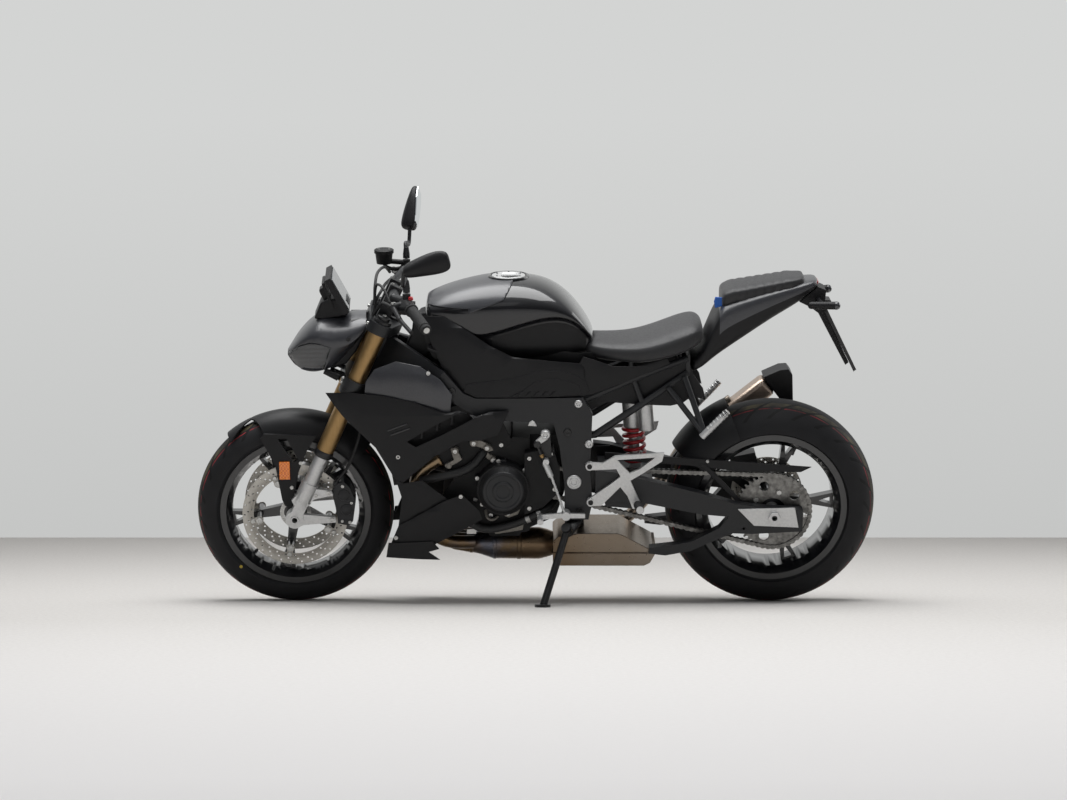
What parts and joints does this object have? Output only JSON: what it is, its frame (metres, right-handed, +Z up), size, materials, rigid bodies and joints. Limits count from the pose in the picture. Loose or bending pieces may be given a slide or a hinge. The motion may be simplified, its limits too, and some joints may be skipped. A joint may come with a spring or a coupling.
{
  "type": "standard motorcycle",
  "caption": "Naked roadster motorcycle leaning on its side stand, with forked-spoke wheels, inverted fork, chain drive, stepped seat and low exhaust box.",
  "frame": {"origin": "on the ground under the middle of the parked motorcycle's box", "axes": "+X forward along the motorcycle, +Y to its left, the side it leans to, +Z up from the ground"},
  "size_m": [2.0694, 0.8093, 1.2911],
  "materials": {
    "tyre_rubber": "matt",
    "gloss_black_alloy": "gloss black paint",
    "disc_steel": "ground",
    "chain_steel": "oiled",
    "gold_anodised": "matt gold anodised",
    "grey_alloy": "satin",
    "black_alloy": "satin black",
    "matt_black_plastic": "matt",
    "orange_reflector": "gloss",
    "grip_rubber": "matt",
    "mirror": "mirror",
    "lamp_glass": "clear gloss",
    "black_paint": "gloss black paint",
    "seat_vinyl": "matt",
    "white_plate": "plain white",
    "red_spring": "gloss red",
    "stainless": "heat-tinted",
    "black_steel": "satin black"
  },
  "bodies": {
    "chassis": {"main_frame": "black_alloy", "engine": "black_alloy", "engine_covers": "black_alloy", "radiator": "black_alloy", "fuel_tank": "black_paint", "tank_trim": "matt_black_plastic", "fuel_cap": "grey_alloy", "side_panels": "matt_black_plastic", "side_fairings": "matt_black_plastic", "belly_pan": "matt_black_plastic", "subframe": "black_alloy", "rider_seat": "seat_vinyl", "pillion_seat": "seat_vinyl", "tail_fairing": "black_paint", "rear_indicators": "matt_black_plastic", "plate_carrier": "matt_black_plastic", "number_plate": "white_plate", "swingarm": "black_alloy", "shock_absorber": "grey_alloy", "shock_spring": "red_spring", "chain_guard": "matt_black_plastic", "rear_hugger": "matt_black_plastic", "drive_chain": "chain_steel", "exhaust": "stainless", "tail_silencer": "stainless", "peg_hangers": "grey_alloy", "foot_controls": "grey_alloy", "pillion_pegs": "black_alloy", "rear_caliper": "black_alloy", "rear_axle": "grey_alloy", "stand_bracket": "black_steel"},
    "front_end": {"fork_outer_tubes": "gold_anodised", "fork_lower_legs": "grey_alloy", "fork_yokes": "black_alloy", "front_axle": "grey_alloy", "front_mudguard": "matt_black_plastic", "front_reflectors": "orange_reflector", "front_calipers": "black_alloy", "handlebar": "black_alloy", "grips": "grip_rubber", "bar_controls": "matt_black_plastic", "mirrors": "matt_black_plastic", "mirror_glass": "mirror", "headlight_mask": "matt_black_plastic", "headlight_lens": "lamp_glass", "display": "matt_black_plastic", "front_indicators": "matt_black_plastic"},
    "front_wheel": {"front_tyre": "tyre_rubber", "front_rim": "gloss_black_alloy", "front_discs": "disc_steel"},
    "rear_wheel": {"rear_tyre": "tyre_rubber", "rear_rim": "gloss_black_alloy", "rear_sprocket": "chain_steel", "rear_disc": "disc_steel"},
    "side_stand": {"side_stand": "black_steel"}
  },
  "joints": [
    {"name": "steering", "type": "hinge", "parent": "chassis", "child": "front_end", "pos_m": [0.70216, -0.15741, 0.27617], "axis": [-0.4099, 0.2438, 0.8789], "range_deg": [-33, 27]},
    {"name": "front_wheel_spin", "type": "hinge", "parent": "front_end", "child": "front_wheel", "pos_m": [0.73496, -0.15166, 0.28986], "axis": [-0.0477, 0.9566, -0.2875], "continuous": true},
    {"name": "rear_wheel_spin", "type": "hinge", "parent": "chassis", "child": "rear_wheel", "pos_m": [-0.715, -0.14753, 0.31182], "axis": [0, 0.9636, -0.2672], "continuous": true},
    {"name": "side_stand_fold", "type": "hinge", "parent": "chassis", "child": "side_stand", "pos_m": [-0.094, 0.02413, 0.22728], "axis": [0.2362, 0.8939, 0.3809], "range_deg": [0, 111]}
  ]
}
